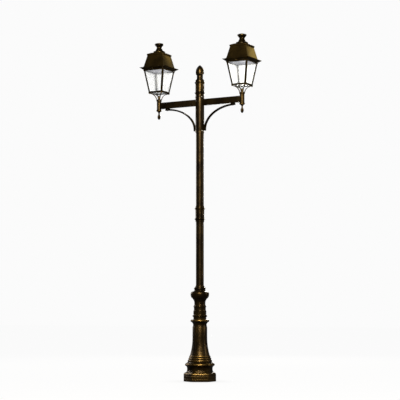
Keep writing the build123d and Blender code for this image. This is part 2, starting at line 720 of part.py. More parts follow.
def make_bottom_pane():
    half = lantern_foot_half - angle_thickness - 2.0
    return block(-half, half, -half, half, lantern_foot + angle_thickness,
                 lantern_foot + angle_thickness + pane_thickness)


# The top frame is wide enough for the corner posts and for the foot of the roof, and the hinge and
# the latch lie outside both.
frame_half = max(lantern_head_half, roof_foot_half - 4.0) + 2.0
rim_half = max(roof_foot_half, frame_half + 2.0)
roof_hinge_y = rim_half + 11.0
roof_hinge_z = roof_foot
roof_knuckle = roof_pin_radius + 2.5
latch_y = -(rim_half + 16.0)
latch_radius = 3.0
keeper_top = roof_foot - 10.0
keeper_thickness = 4.0
keeper_foot = keeper_top - keeper_thickness
keeper_half = 18.0
wing_half = 12.0
wing_side = 3.5
wing_gap = 0.5


def make_top_frame():
    """Steel angle frame under the roof, with its two hinge knuckles."""
    post_ledge = lantern_head_half - 14.0
    roof_ledge = min(frame_half - angle_thickness, roof_foot_half - 6.0)
    frame = square_ring(frame_half, frame_half - angle_thickness, top_low, frame_top)
    frame += square_ring(frame_half, post_ledge, top_low, top_low + angle_thickness)
    frame += square_ring(frame_half, roof_ledge, frame_top - angle_thickness, frame_top)
    for side in (-1, 1):
        x0, x1 = sorted((side * 60.0, side * 80.0))
        knuckle = rod_x(roof_knuckle, x0, x1, roof_hinge_y, roof_hinge_z)
        knuckle += block(x0, x1, frame_half - 1.0, roof_hinge_y, roof_hinge_z - roof_knuckle,
                         roof_hinge_z - 0.5)
        frame += knuckle - rod_x(roof_pin_radius, x0 - 1, x1 + 1, roof_hinge_y, roof_hinge_z)
    return frame


def make_latch_keeper():
    """Slotted steel angle on the front of the top frame, which the latch's wing passes and grips."""
    keeper = block(-keeper_half, keeper_half, latch_y - 14.0, -frame_half, keeper_foot, keeper_top)
    keeper += block(-keeper_half, keeper_half, -frame_half - keeper_thickness, -frame_half, top_low,
                    keeper_foot)
    return keeper - block(-wing_half - 1.5, wing_half + 1.5, latch_y - wing_side - 2.0,
                          latch_y + wing_side + 2.0, keeper_foot - 1, keeper_top + 1)


eave_height = roof_foot + 33.0
shoulder_height = roof_foot + 57.0
roof_top = roof_foot + roof_height
boss_radius = 6.5


def under_eave(half):
    """Height of the skirt's sloping underside at a half width."""
    slope = (eave_height - 4.0 - roof_foot) / (eave_half - 3.0 - roof_foot_half)
    return roof_foot + slope * (half - roof_foot_half)


def make_roof_skirt():
    """Sheet metal mansard roof with a hollow eave, knuckles behind and a latch boss in front."""
    outer = [(roof_foot_half, roof_foot, 0.0), (eave_half - 3.0, eave_height - 4.0, 0.0),
             (eave_half, eave_height, 0.0), (eave_half - 2.0, eave_height + 4.0, -0.16),
             (roof_shoulder_half, shoulder_height, 0.0), (roof_top_half, roof_top, 0.0)]
    ledge_top = roof_foot + sheet
    inner = [(roof_foot_half - 0.5, ledge_top, 0.0),
             (eave_half - 9.0, eave_height - 1.0, 0.0), (eave_half - 11.0, eave_height + 1.0, -0.14),
             (roof_shoulder_half - sheet, shoulder_height - 1.0, 0.0),
             (roof_top_half - sheet, roof_top - sheet, 0.0)]
    skirt = shell_square(outer, inner)
    skirt -= square_column(roof_foot_half - 12.0, roof_foot - 1.0, ledge_top + 1.0)
    skirt -= square_column(roof_top_half - 24.0, roof_top - sheet - 1.0, roof_top + 1.0)
    for side in (-1, 1):
        x0, x1 = sorted((side * 40.0, side * (60.0 - fit)))
        knuckle = rod_x(roof_knuckle, x0, x1, roof_hinge_y, roof_hinge_z)
        knuckle += block(x0, x1, roof_foot_half + 5.5, roof_hinge_y, roof_hinge_z,
                         roof_hinge_z + 8.0)
        skirt += knuckle
        skirt -= rod_x(roof_pin_radius + running, x0 - 1, x1 + 1, roof_hinge_y, roof_hinge_z)
    boss_top = max(roof_foot + 14.0, under_eave(-latch_y) + 2.0)
    skirt += rod(boss_radius, 0, latch_y, roof_foot - 6.0, boss_top)
    return skirt - rod(latch_radius + running, 0, latch_y, roof_foot - 7.0, roof_foot + 10.5)


def make_roof_latch():
    """Quarter-turn latch: a spindle in the roof's boss with a wing below the keeper."""
    wing_top = keeper_foot - wing_gap
    latch = rod(latch_radius, 0, latch_y, wing_top - 6.0, roof_foot + 10.0)
    latch += block(-wing_half, wing_half, latch_y - wing_side, latch_y + wing_side, wing_top - 4.0,
                   wing_top)
    latch += rod(4.5, 0, latch_y, wing_top - 12.0, wing_top - 4.0)
    return latch - block(-6.0, 6.0, latch_y - 1.0, latch_y + 1.0, wing_top - 13.0, wing_top - 9.0)


def make_roof_crown():
    """Square cap over the skirt: an upright rim and a low pyramid with a round vent hole."""
    low = roof_top
    outer = [(crown_half - 5.0, low, 0.0), (crown_half, low + 7.0, 0.0), (crown_half, low + 26.0, 0.0),
             (crown_half - 4.0, low + 29.0, 0.0), (chimney_radius + 2.0, low + crown_height, 0.0)]
    inner = [(crown_half - 5.0 - sheet, low - 1.0, 0.0), (crown_half - sheet, low + 8.0, 0.0),
             (crown_half - sheet, low + 25.0, 0.0),
             (chimney_radius - 4.0, low + crown_height - sheet, 0.0)]
    crown = shell_square(outer, inner)
    return crown - rod(chimney_radius - 24.0, 0, 0, low, low + crown_height + 1)


chimney_foot = roof_top + crown_height
chimney_neck = 42.0


def make_chimney():
    """Bell-shaped vent on the crown."""
    z, r, n = chimney_foot, chimney_radius, chimney_neck
    bell = turned([(r, z, 0.0), (r + 1.0, z + 10.0, 0.14), (r - 10.0, z + 27.0, 0.0),
                   (r - 12.0, z + 28.0, -0.14), (n + 9.0, z + 66.0, -0.05), (n, z + 90.0, 0.0),
                   (n, z + chimney_height, 0.0)])
    hollow = turned([(r - 4.0, z - 1.0, 0.0), (r - 4.0, z + 9.0, 0.0), (r - 16.0, z + 26.0, -0.14),
                     (n + 4.0, z + 66.0, -0.05), (n - 4.0, z + 90.0, 0.0),
                     (n - 4.0, z + chimney_height + 1, 0.0)])
    return bell - hollow


def make_chimney_cap():
    """Flared cap with a low domed top, plugged into the chimney's neck."""
    z, r, n = chimney_foot + chimney_height, cap_radius, chimney_neck
    dome_low = cap_height - 18.0
    cap = turned([(n, z, -0.08), (n + 11.0, z + 19.0, -0.04), (r - 5.0, z + 40.0, 0.0),
                  (r, z + 50.0, 0.0), (r, z + dome_low, cap_bow(r, 18.0)),
                  (0.0, z + cap_height, 0.0)])
    cap += rod(n - 4.0 - fit, 0, 0, z - 15.0, z)
    return cap - rod(n - 12.0, 0, 0, z - 16.0, z + 42.0)


tray_half = roof_foot_half - 14.0
tray_foot = roof_foot - 2.0
tray_top = roof_foot + 24.0


def make_optic_tray():
    """Shallow steel tray that carries the light source and rests on the roof's inner ledge."""
    tray = block(-tray_half, tray_half, -tray_half, tray_half, tray_foot, tray_top)
    inside = tray_half - 2.0
    tray -= block(-inside, inside, -inside, inside, tray_foot - 1, tray_top - 2.0)
    tray += square_ring(tray_half, tray_half - 10.0, tray_foot, tray_foot + 2.0)
    tray += square_ring(roof_foot_half - 5.0, tray_half - 1.0, roof_foot + sheet,
                        roof_foot + sheet + 2.0)
    return tray


def make_diffuser():
    """Opal plate closing the tray, with a slightly dished visible face."""
    half = tray_half - 2.0
    return block(-half, half, -half, half, tray_foot - 6.0, tray_foot)


def make_led_module():
    """Light source board with nine lenses, under the tray's top."""
    top = tray_top - 2.0
    module = block(-70.0, 70.0, -70.0, 70.0, top - 5.0, top)
    for x in (-42.0, 0.0, 42.0):
        for y in (-42.0, 0.0, 42.0):
            module += Pos(x, y, top - 5.0) * Rot(180, 0, 0) * dome(13.0, 8.0)
    return module


def make_driver():
    """Sealed driver box on top of the tray, with a fixing ear at each end."""
    driver = block(-62.0, 62.0, -32.0, 32.0, tray_top, tray_top + 34.0)
    driver = fillet(driver.edges().filter_by(Axis.Z), 6.0)
    return driver + block(-76.0, 76.0, -16.0, 16.0, tray_top, tray_top + 3.0)


def make_roof_pin():
    return rod_x(roof_pin_radius, -80.0, 80.0, roof_hinge_y, roof_hinge_z)


lantern = {
    "cradle": make_cradle(),
    "bottom_frame": make_bottom_frame(),
    "corner_posts": Compound(children=make_corner_posts()),
    "side_panes": Compound(children=make_side_panes()),
    "bottom_pane": make_bottom_pane(),
    "top_frame": make_top_frame(),
    "roof_skirt": make_roof_skirt(),
    "roof_crown": make_roof_crown(),
    "chimney": make_chimney(),
    "chimney_cap": make_chimney_cap(),
    "optic_tray": make_optic_tray(),
    "diffuser": make_diffuser(),
    "led_module": make_led_module(),
    "driver": make_driver(),
    "roof_latch": make_roof_latch(),
}
for side, x in (("left", -lantern_reach), ("right", lantern_reach)):
    nodes["socket_" + side] = Pos(x, 0, 0) * socket
    nodes["drop_finial_" + side] = Pos(x, 0, 0) * drop
    for name, solid in lantern.items():
        nodes[side + "_" + name] = Pos(x, 0, 0) * solid

reaches = (-lantern_reach, lantern_reach)
nodes["roof_hinge_pins"] = Compound(children=[Pos(x, 0, 0) * make_roof_pin() for x in reaches])
nodes["latch_keepers"] = Compound(children=[Pos(x, 0, 0) * make_latch_keeper() for x in reaches])
nodes["cradle_screws"] = Compound(
    children=[Pos(x, 0, 0) * screw for x in reaches for screw in make_cradle_screws()])

for name, shape in nodes.items():
    export_step(shape, "parts/" + name + ".step")
print(len(nodes), "nodes")
print("door hinge at", hinge_x, hinge_y, "and door lock at", lock_y, lock_z)
print("roof hinge at", roof_hinge_y, roof_hinge_z, "and roof latch at", latch_y)
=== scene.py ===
"""Looks of the twin-lantern street lamp post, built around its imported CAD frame. Metres throughout."""
import json
import math

import bmesh
import bpy
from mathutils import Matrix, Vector
from mathutils.bvhtree import BVHTree


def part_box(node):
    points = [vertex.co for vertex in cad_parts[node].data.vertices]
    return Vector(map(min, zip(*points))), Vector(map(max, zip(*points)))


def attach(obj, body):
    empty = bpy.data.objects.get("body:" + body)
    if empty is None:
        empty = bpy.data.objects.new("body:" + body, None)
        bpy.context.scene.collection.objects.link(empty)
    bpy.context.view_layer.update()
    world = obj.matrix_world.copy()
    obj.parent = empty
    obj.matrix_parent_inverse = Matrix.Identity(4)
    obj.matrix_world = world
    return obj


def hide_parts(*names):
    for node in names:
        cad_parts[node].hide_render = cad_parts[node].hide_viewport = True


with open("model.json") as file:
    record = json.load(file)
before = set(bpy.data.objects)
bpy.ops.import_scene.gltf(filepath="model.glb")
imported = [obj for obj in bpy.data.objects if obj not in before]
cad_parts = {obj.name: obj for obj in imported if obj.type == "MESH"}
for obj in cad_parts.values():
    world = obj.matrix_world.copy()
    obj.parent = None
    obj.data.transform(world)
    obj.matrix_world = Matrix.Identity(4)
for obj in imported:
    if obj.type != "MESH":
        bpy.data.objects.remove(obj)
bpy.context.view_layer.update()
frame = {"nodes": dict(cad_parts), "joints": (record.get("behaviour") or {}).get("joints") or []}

MM = 0.001
SIDES = ("left", "right")

# The base's fine grooves, painted dark as shade and given a bump: one up each corner of the hexagon,
# between two heights, and two level lines.
FLUTE_FOOT, FLUTE_TOP = 0.425, 0.80
PLINTH_LINES = (0.045, 0.093)
HEXAGON_WAVES = 3.0  # |sin(3 x turn)| peaks at each of the six corners

# ---------------------------------------------------------------- sizes read from the frame
joints = {joint["name"]: joint for joint in frame["joints"]}
lantern_x = {side: joints[side + "_roof_hinge"]["pos_m"][0] for side in SIDES}


# ---------------------------------------------------------------- materials
def new_material(name):
    material = bpy.data.materials.new(name)
    material.use_nodes = True
    tree = material.node_tree
    shader = tree.nodes["Principled BSDF"]
    return material, tree, shader


def node(tree, kind, **values):
    """A new shader node with its properties and unlinked inputs set."""
    made = tree.nodes.new(kind)
    for key, value in values.items():
        if key in made.inputs:
            made.inputs[key].default_value = value
        else:
            setattr(made, key, value)
    return made


def noise(tree, scale, detail=4.0, roughness=0.55, stretch=None):
    """Noise in object space, at that many features a metre."""
    coordinates = node(tree, "ShaderNodeTexCoord")
    texture = node(tree, "ShaderNodeTexNoise", Scale=scale, Detail=detail, Roughness=roughness)
    if stretch:
        mapping = node(tree, "ShaderNodeMapping", Scale=stretch)
        tree.links.new(coordinates.outputs["Object"], mapping.inputs["Vector"])
        tree.links.new(mapping.outputs["Vector"], texture.inputs["Vector"])
    else:
        tree.links.new(coordinates.outputs["Object"], texture.inputs["Vector"])
    return texture.outputs["Fac"]


def ramp(tree, source, stops):
    """Colour ramp over a value; stops are (position, colour)."""
    made = node(tree, "ShaderNodeValToRGB")
    elements = made.color_ramp.elements
    while len(elements) < len(stops):
        elements.new(0.5)
    for element, (position, colour) in zip(elements, stops):
        element.position = position
        element.color = (*colour, 1.0) if len(colour) == 3 else colour
    tree.links.new(source, made.inputs["Fac"])
    return made.outputs["Color"]


def grey_ramp(tree, source, low, high, dark, light):
    return ramp(tree, source, [(low, (dark,) * 3), (high, (light,) * 3)])


def mix(tree, factor, first, second, blend="MIX"):
    """Mix of two colours, each a colour or a socket."""
    made = node(tree, "ShaderNodeMix", data_type="RGBA", blend_type=blend)
    for socket, value in ((made.inputs[0], factor), (made.inputs[6], first), (made.inputs[7], second)):
        if isinstance(value, bpy.types.NodeSocket):
            tree.links.new(value, socket)
        else:
            socket.default_value = (*value, 1.0) if isinstance(value, tuple) else value
    return made.outputs[2]


def bump(tree, shader, heights):
    """Chain of bumps from (height socket, strength, distance)."""
    normal = None
    for height, strength, distance in heights:
        made = node(tree, "ShaderNodeBump", Strength=strength, Distance=distance)
        tree.links.new(height, made.inputs["Height"])
        if normal:
            tree.links.new(normal, made.inputs["Normal"])
        normal = made.outputs["Normal"]
    tree.links.new(normal, shader.inputs["Normal"])


def calculated(tree, operation, *values):
    """Math node over values, each a number or a socket."""
    made = node(tree, "ShaderNodeMath", operation=operation)
    for socket, value in zip(made.inputs, values):
        if isinstance(value, bpy.types.NodeSocket):
            tree.links.new(value, socket)
        else:
            socket.default_value = value
    return made.outputs[0]


def base_grooves(tree, low, high, lines):
    """Mask of the base's fine grooves, for their painted shade and their bump: one up each corner of the
    hexagon, and level lines.
    """
    place = node(tree, "ShaderNodeTexCoord")
    parts = node(tree, "ShaderNodeSeparateXYZ")
    tree.links.new(place.outputs["Object"], parts.inputs[0])
    height = parts.outputs["Z"]
    turn = calculated(tree, "ARCTAN2", parts.outputs["Y"], parts.outputs["X"])
    near_corner = calculated(tree, "ABSOLUTE",
                             calculated(tree, "SINE",
                                        calculated(tree, "MULTIPLY", turn, HEXAGON_WAVES)))
    strip = grey_ramp(tree, near_corner, 0.962, 0.988, 0.0, 1.0)
    ends = ramp(tree, height, [(low, (0.0,) * 3), (low + 0.03, (1.0,) * 3),
                               (high - 0.03, (1.0,) * 3), (high, (0.0,) * 3)])
    mask = calculated(tree, "MULTIPLY", strip, ends)
    for level in lines:
        line = ramp(tree, height, [(level - 6 * MM, (0.0,) * 3), (level - 2 * MM, (0.8,) * 3),
                                   (level + 2 * MM, (0.8,) * 3), (level + 6 * MM, (0.0,) * 3)])
        mask = calculated(tree, "MAXIMUM", mask, line)
    return mask


def bronze(name, dark, mid, gold, grain, grain_size, roughness, worn=1.0, grooves=None):
    """Dark bronze paint, mottled, with gold rubbed through on raised edges.

    The wear_and_groove_shade attribute of a piece is high along its outer edges, where gold is rubbed
    through, and low in its grooves, where near-black shade is painted.
    """
    material, tree, shader = new_material(name)
    links = tree.links
    cloud = noise(tree, 5.0, 6.0, 0.6)
    speckle = noise(tree, 90.0, 5.0, 0.7)
    streak = noise(tree, 26.0, 3.0, 0.6, stretch=(1.0, 1.0, 0.12))
    base = mix(tree, grey_ramp(tree, cloud, 0.36, 0.66, 0.0, 1.0), dark, mid)
    base = mix(tree, grey_ramp(tree, streak, 0.52, 0.72, 0.0, 0.45), base, dark)
    wear_and_groove_shade = node(tree, "ShaderNodeAttribute", attribute_name="wear_and_groove_shade").outputs["Fac"]
    broken = node(tree, "ShaderNodeMath", operation="MULTIPLY")
    links.new(grey_ramp(tree, wear_and_groove_shade, 0.57, 0.84, 0.0, worn), broken.inputs[0])
    links.new(grey_ramp(tree, speckle, 0.34, 0.56, 0.25, 1.0), broken.inputs[1])
    rubbed = mix(tree, broken.outputs[0], base, gold)
    # Painted shade: where the wear_and_groove_shade attribute is low, in grooves and creases, the colour
    # goes near black and the surface rough.
    painted_groove_shade = grey_ramp(tree, wear_and_groove_shade, 0.10, 0.40, 0.70, 0.0)
    # On the base the corner flutes and plinth lines get the same painted shade, as well as a bump.
    cut = base_grooves(tree, *grooves) if grooves else None
    if cut:
        painted_groove_shade = calculated(tree, "MAXIMUM", painted_groove_shade, calculated(tree, "MULTIPLY", cut, 0.85))
    links.new(mix(tree, painted_groove_shade, rubbed, (0.008, 0.007, 0.006)), shader.inputs["Base Color"])
    rough = grey_ramp(tree, speckle, 0.3, 0.7, roughness - 0.05, roughness + 0.08)
    links.new(mix(tree, painted_groove_shade, rough, (0.8, 0.8, 0.8)), shader.inputs["Roughness"])
    shader.inputs["Metallic"].default_value = 0.88
    shader.inputs["Specular IOR Level"].default_value = 0.3
    shader.inputs["Coat Weight"].default_value = 0.04
    shader.inputs["Coat Roughness"].default_value = 0.2
    relief = [(noise(tree, grain_size, 3.0, 0.6), grain, 0.0012),
              (noise(tree, 14.0, 2.0, 0.5), 0.14, 0.004)]
    if cut:
        relief.append((calculated(tree, "SUBTRACT", 1.0, cut), 0.8, 0.004))
    bump(tree, shader, relief)
    return material


def metal(name, colour, roughness, brushed=(1.0, 1.0, 1.0)):
    """Bare or plated metal with fine directional scratches."""
    material, tree, shader = new_material(name)
    scratch = noise(tree, 700.0, 4.0, 0.7, stretch=brushed)
    stain = noise(tree, 60.0, 4.0, 0.6)
    tone = mix(tree, grey_ramp(tree, stain, 0.4, 0.7, 0.0, 0.5), colour,
               tuple(0.55 * c for c in colour))
    tree.links.new(tone, shader.inputs["Base Color"])
    rough = grey_ramp(tree, scratch, 0.3, 0.7, roughness - 0.1, roughness + 0.15)
    tree.links.new(rough, shader.inputs["Roughness"])
    shader.inputs["Metallic"].default_value = 1.0
    bump(tree, shader, [(scratch, 0.15, 0.0003)])
    return material


def coated(name, colour, roughness, texture_scale, depth, variation=0.12):
    """Enamel, moulded plastic or coated board: even colour, slight dirt and a fine skin texture."""
    material, tree, shader = new_material(name)
    dirt = noise(tree, 22.0, 5.0, 0.6)
    darker = tuple(c * (1.0 - 2.2 * variation) for c in colour)
    tree.links.new(mix(tree, grey_ramp(tree, dirt, 0.42, 0.72, 0.0, 1.0), colour, darker),
                   shader.inputs["Base Color"])
    skin = noise(tree, texture_scale, 2.0, 0.5)
    tree.links.new(grey_ramp(tree, skin, 0.3, 0.7, roughness - 0.06, roughness + 0.08),
                   shader.inputs["Roughness"])
    bump(tree, shader, [(skin, 0.3, depth)])
    return material


def glass(name):
    """Lightly frosted pane with a faint unevenness and dust."""
    material, tree, shader = new_material(name)
    dust = noise(tree, 9.0, 5.0, 0.65)
    rough = grey_ramp(tree, dust, 0.35, 0.75, 0.17, 0.26)
    tree.links.new(rough, shader.inputs["Roughness"])
    tree.links.new(mix(tree, grey_ramp(tree, dust, 0.4, 0.8, 0.0, 0.25), (0.985, 0.992, 0.99),
                       (0.93, 0.935, 0.92)), shader.inputs["Base Color"])
    shader.inputs["Transmission Weight"].default_value = 1.0
    shader.inputs["IOR"].default_value = 1.45
    bump(tree, shader, [(noise(tree, 7.0, 1.0, 0.5), 0.06, 0.002)])
    return material


def opal(name):
    """Opal diffuser: milky, faintly lilac, with a soft prismatic skin."""
    material, tree, shader = new_material(name)
    haze = noise(tree, 6.0, 3.0, 0.5)
    tree.links.new(mix(tree, grey_ramp(tree, haze, 0.35, 0.7, 0.0, 1.0), (0.80, 0.80, 0.88),
                       (0.70, 0.70, 0.79)), shader.inputs["Base Color"])
    shader.inputs["Roughness"].default_value = 0.38
    shader.inputs["Subsurface Weight"].default_value = 0.25
    shader.inputs["Subsurface Radius"].default_value = (0.01, 0.01, 0.01)
    shader.inputs["Subsurface Scale"].default_value = 0.5
    bump(tree, shader, [(noise(tree, 260.0, 1.0, 0.4), 0.12, 0.0006)])
    return material


def hardwood(name):
    """Oiled board with grain along Z."""
    material, tree, shader = new_material(name)
    rings = noise(tree, 60.0, 5.0, 0.6, stretch=(1.0, 1.0, 0.06))
    pores = noise(tree, 700.0, 2.0, 0.6, stretch=(1.0, 1.0, 0.08))
    tone = ramp(tree, rings, [(0.3, (0.14, 0.065, 0.026)), (0.5, (0.30, 0.155, 0.065)),
                              (0.7, (0.20, 0.10, 0.042))])
    tree.links.new(mix(tree, grey_ramp(tree, pores, 0.35, 0.5, 0.6, 0.0), tone, (0.05, 0.025, 0.012)),
                   shader.inputs["Base Color"])
    tree.links.new(grey_ramp(tree, pores, 0.3, 0.7, 0.7, 0.5), shader.inputs["Roughness"])
    bump(tree, shader, [(pores, 0.4, 0.0005)])
    return material


GROUND = {"dark": (0.016, 0.010, 0.004), "mid": (0.070, 0.043, 0.013)}
CAST = {**GROUND, "gold": (0.42, 0.25, 0.06), "grain": 0.34, "grain_size": 420.0,
        "roughness": 0.31, "worn": 0.65}
cast_bronze = bronze("cast_bronze_paint", **CAST)
base_bronze = bronze("base_bronze_paint", **CAST, grooves=(FLUTE_FOOT, FLUTE_TOP, PLINTH_LINES))
tube_bronze = bronze("tube_bronze_paint", dark=(0.014, 0.009, 0.005), mid=(0.055, 0.035, 0.013),
                     gold=(0.26, 0.16, 0.05), grain=0.22, grain_size=900.0, roughness=0.36, worn=0.3)
sheet_bronze = bronze("sheet_bronze_paint", dark=(0.016, 0.011, 0.004), mid=(0.075, 0.048, 0.012),
                      gold=(0.28, 0.17, 0.04), grain=0.18, grain_size=650.0, roughness=0.35,
                      worn=0.3)
zinc = metal("zinc_plate", (0.52, 0.52, 0.50), roughness=0.36)
stainless = metal("dull_stainless", (0.62, 0.57, 0.50), roughness=0.32)
brass = metal("brass", (0.66, 0.47, 0.17), roughness=0.34)
aluminium = metal("driver_aluminium", (0.66, 0.67, 0.69), roughness=0.40, brushed=(1.0, 0.05, 1.0))
enamel = coated("white_enamel", (0.80, 0.80, 0.81), roughness=0.34, texture_scale=500.0,
                depth=0.2 * MM)
lamp_board = coated("lamp_board", (0.86, 0.87, 0.88), roughness=0.30, texture_scale=900.0,
                    depth=0.1 * MM, variation=0.04)
grey_plastic = coated("grey_moulding", (0.16, 0.165, 0.17), roughness=0.48, texture_scale=1500.0,
                      depth=0.2 * MM)
frame_bronze = bronze("frame_bronze_paint", dark=(0.008, 0.006, 0.003), mid=(0.024, 0.016, 0.006),
                      gold=(0.16, 0.10, 0.03), grain=0.22, grain_size=900.0, roughness=0.42,
                      worn=0.3)
clear_glass = glass("clear_glass")
opal_plate = opal("opal_plate")
board_wood = hardwood("oiled_board")


# ---------------------------------------------------------------- outlines taken from the CAD nodes
def outline(name, toward, step, centre):
    """Outer (size, height) line of a node about its centre, met by level rays from toward."""
    low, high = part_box(name)
    tree = BVHTree.FromObject(frame["nodes"][name], bpy.context.evaluated_depsgraph_get())
    start = Vector((*toward, 0.0))
    shift = Vector((*centre, 0.0))
    count = max(2, round((high.z - low.z) / step))
    inset = 0.02 * MM
    points = []
    for i in range(count + 1):
        z = low.z + inset + (high.z - low.z - 2 * inset) * i / count
        hit = tree.ray_cast(shift + start * 2.0 + Vector((0, 0, z)), -start)[0]
        if hit:
            points.append(((hit - shift).dot(start), low.z + (high.z - low.z) * i / count))
    return points


def simplified(points, tolerance):
    """The same line with only the points that its shape needs (Douglas and Peucker)."""
    if len(points) < 3:
        return list(points)
    (r0, z0), (r1, z1) = points[0], points[-1]
    length = math.hypot(r1 - r0, z1 - z0) or 1e-9
    gaps = [abs((r1 - r0) * (z0 - z) - (r0 - r) * (z1 - z0)) / length for r, z in points[1:-1]]
    worst = max(range(len(gaps)), key=gaps.__getitem__)
    if gaps[worst] <= tolerance:
        return [points[0], points[-1]]
    split = worst + 1
    return simplified(points[:split + 1], tolerance)[:-1] + simplified(points[split:], tolerance)


def turn_at(before, here, after):
    """Angle by which a line turns at a point."""
    a = Vector(here) - Vector(before)
    b = Vector(after) - Vector(here)
    return a.angle(b, 0.0)


def eased(points, fillet, sharp=math.radians(24.0), cuts=3):
    """Rounds a line: sharp corners get a small fillet and gentle ones a smooth curve."""
    last = len(points) - 1
    corner = [i in (0, last) or turn_at(points[i - 1], points[i], points[i + 1]) > sharp
              for i in range(last + 1)]
    smooth = []
    for i in range(last):
        p1, p2 = Vector(points[i]), Vector(points[i + 1])
        p0 = p1 if corner[i] else Vector(points[i - 1])
        p3 = p2 if corner[i + 1] else Vector(points[i + 2])
        curved = not (corner[i] and corner[i + 1]) and (p2 - p1).length > 2.0 * MM
        smooth.append((tuple(p1), corner[i]))
        for k in range(1, cuts if curved else 1):
            t = k / cuts
            m1 = (p2 - p0) * 0.5 if not corner[i] else (p2 - p1)
            m2 = (p3 - p1) * 0.5 if not corner[i + 1] else (p2 - p1)
            limit = (p2 - p1).length
            m1 = m1.normalized() * min(m1.length, limit)
            m2 = m2.normalized() * min(m2.length, limit)
            point = ((2 * t ** 3 - 3 * t ** 2 + 1) * p1 + (t ** 3 - 2 * t ** 2 + t) * m1
                     + (3 * t ** 2 - 2 * t ** 3) * p2 + (t ** 3 - t ** 2) * m2)
            smooth.append((tuple(point), False))
    smooth.append((tuple(points[last]), True))
    result = []
    for i, (point, is_corner) in enumerate(smooth):
        if not is_corner or i in (0, len(smooth) - 1):
            result.append(point)
            continue
        here = Vector(point)
        back, ahead = Vector(smooth[i - 1][0]) - here, Vector(smooth[i + 1][0]) - here
        cut = min(fillet, 0.45 * back.length, 0.45 * ahead.length)
        a, b = here + back.normalized() * cut, here + ahead.normalized() * cut
        for t in (0.0, 0.5, 1.0):
            result.append(tuple(a * (1 - t) ** 2 + here * 2 * t * (1 - t) + b * t * t))
    return result


# ---------------------------------------------------------------- mesh helpers
def add_wear_and_groove_shade(mesh):
    """Writes the wear_and_groove_shade attribute: above 0.5 on outer edges, where gold is rubbed
    through, and below it in grooves, where shade is painted.
    """
    made = bmesh.new()
    made.from_mesh(mesh)
    made.normal_update()
    values = []
    for vertex in made.verts:
        total = weight = 0.0
        for edge in vertex.link_edges:
            along = edge.other_vert(vertex).co - vertex.co
            length = max(along.length, 1e-5)
            total += -along.normalized().dot(vertex.normal) / length * min(length, 4 * MM)
            weight += min(length, 4 * MM) / length
        values.append(total / weight if weight else 0.0)
    made.free()
    attribute = mesh.attributes.new("wear_and_groove_shade", "FLOAT", "POINT")
    attribute.data.foreach_set("value", [min(1.0, max(0.0, 0.5 + 1.6 * v)) for v in values])


def finish_piece(mesh, name, material, body, replaced=(), sharp=38.0):
    """Object from a mesh: shading split at sharp edges, edge wear and painted groove shade attribute,
    material, body and CAD nodes.
    """
    mesh.shade_smooth()
    mesh.set_sharp_from_angle(angle=math.radians(sharp))
    add_wear_and_groove_shade(mesh)
    mesh.materials.append(material)
    piece = bpy.data.objects.new(name, mesh)
    bpy.context.scene.collection.objects.link(piece)
    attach(piece, body)
    if replaced:
        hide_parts(*replaced)
    return piece


def mesh_of(made, name):
    """Mesh from a bmesh, cleaned, with its normals outwards."""
    bmesh.ops.remove_doubles(made, verts=made.verts, dist=1e-6)
    bmesh.ops.recalc_face_normals(made, faces=made.faces)
    mesh = bpy.data.meshes.new(name)
    made.to_mesh(mesh)
    made.free()
    return mesh


def stack_rings(made, rings):
    """Skin over rings of equally many points, capped at both ends."""
    rows = [[made.verts.new(point) for point in ring] for ring in rings]
    count = len(rows[0])
    for low, high in zip(rows, rows[1:]):
        for i in range(count):
            j = (i + 1) % count
            made.faces.new((low[i], low[j], high[j], high[i]))
    made.faces.new(rows[0][::-1])
    made.faces.new(rows[-1])
    return made


def circle(radius, count):
    return [(radius * math.cos(2 * math.pi * i / count), radius * math.sin(2 * math.pi * i / count))
            for i in range(count)]


def lathe(line, centre, count):
    """Turned body from a (radius, height) line, closed by flat ends."""
    rings = [[(centre[0] + x, centre[1] + y, z) for x, y in circle(max(r, 0.05 * MM), count)]
             for r, z in line]
    return stack_rings(bmesh.new(), rings)


def turned_piece(name, material, body="post", step=1.0 * MM, fillet=1.5 * MM, centre=(0.0, 0.0),
                 toward=(1.0, 0.0), count=96):
    """Smooth turned stand-in for a round CAD node, from the node's own outline."""
    line = simplified(outline(name, toward, step, centre), 0.12 * MM)
    made = lathe(eased(line, fillet), centre, count)
    return finish_piece(mesh_of(made, name + "_skin"), name + "_skin", material, body, [name])


def refined_piece(name, material, body, bevel, segments=2, sharp=28.0):
    """Copy of a CAD node with its flat faces merged and its edges rounded."""
    made = bmesh.new()
    made.from_mesh(frame["nodes"][name].data)
    bmesh.ops.remove_doubles(made, verts=made.verts, dist=2e-6)
    bmesh.ops.dissolve_limit(made, angle_limit=math.radians(0.6), verts=made.verts, edges=made.edges)
    edges = [e for e in made.edges if len(e.link_faces) == 2
             and e.calc_face_angle(0.0) > math.radians(sharp)]
    bmesh.ops.bevel(made, geom=edges, offset=bevel, segments=segments, profile=0.6,
                    affect="EDGES", clamp_overlap=True)
    bmesh.ops.triangulate(made, faces=[f for f in made.faces if len(f.verts) > 4])
    return finish_piece(mesh_of(made, name + "_skin"), name + "_skin", material, body, [name])


# ---------------------------------------------------------------- the turned pieces of the post
for name in ("pedestal_casting", "joint_collar", "cap_collar", "post_finial"):
    turned_piece(name, cast_bronze)
for name in ("lower_shaft", "upper_shaft"):
    turned_piece(name, tube_bronze, count=128)
turned_piece("crosshead_sleeve", tube_bronze, toward=(0.0, 1.0))
for side in SIDES:
    centre = (lantern_x[side], 0.0)
    turned_piece("socket_" + side, cast_bronze, centre=centre, toward=(0.0, 1.0), count=64)
    turned_piece("drop_finial_" + side, cast_bronze, centre=centre, count=64)
    for name in ("chimney", "chimney_cap"):
        turned_piece(f"{side}_{name}", sheet_bronze, side + "_roof", centre=centre, fillet=1.0 * MM)

